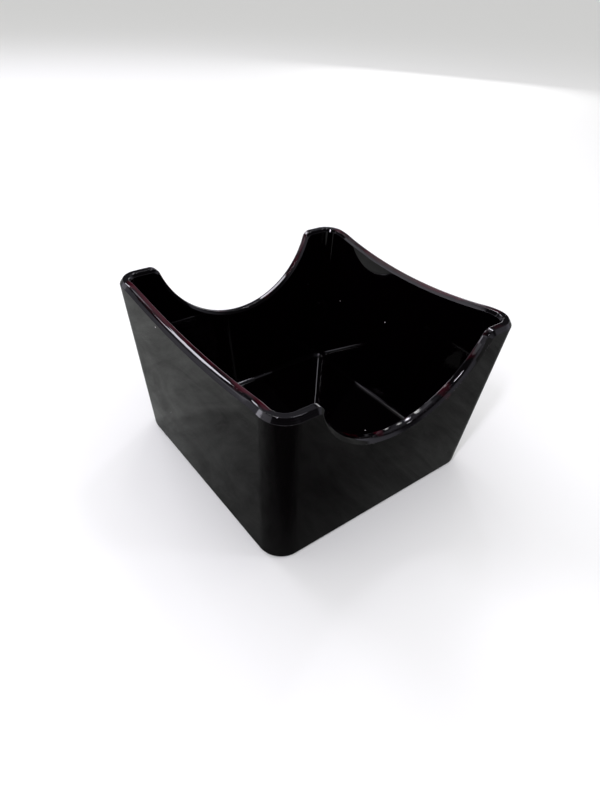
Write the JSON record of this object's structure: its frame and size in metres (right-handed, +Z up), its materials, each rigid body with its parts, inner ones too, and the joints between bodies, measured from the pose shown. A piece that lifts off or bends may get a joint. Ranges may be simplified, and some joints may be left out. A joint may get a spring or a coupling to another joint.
{
  "type": "napkin caddy",
  "caption": "Square open-topped counter caddy for folded napkins, with tapered walls, a deep round finger scoop in two opposite walls and non-slip pads underneath.",
  "frame": {"origin": "on the table, under the middle of the caddy", "axes": "+Z up; the scooped front and back walls face -Y and +Y, the plain side walls face -X and +X"},
  "size_m": [0.1404, 0.1404, 0.0885],
  "materials": {
    "body_plastic": "polished, tinted so deep a red that it reads black except at thin edges",
    "pad_rubber": "matt"
  },
  "bodies": {
    "root": {"caddy_body": "body_plastic", "foot_pad_front_left": "pad_rubber", "foot_pad_front_right": "pad_rubber", "foot_pad_back_left": "pad_rubber", "foot_pad_back_right": "pad_rubber"}
  },
  "joints": []
}
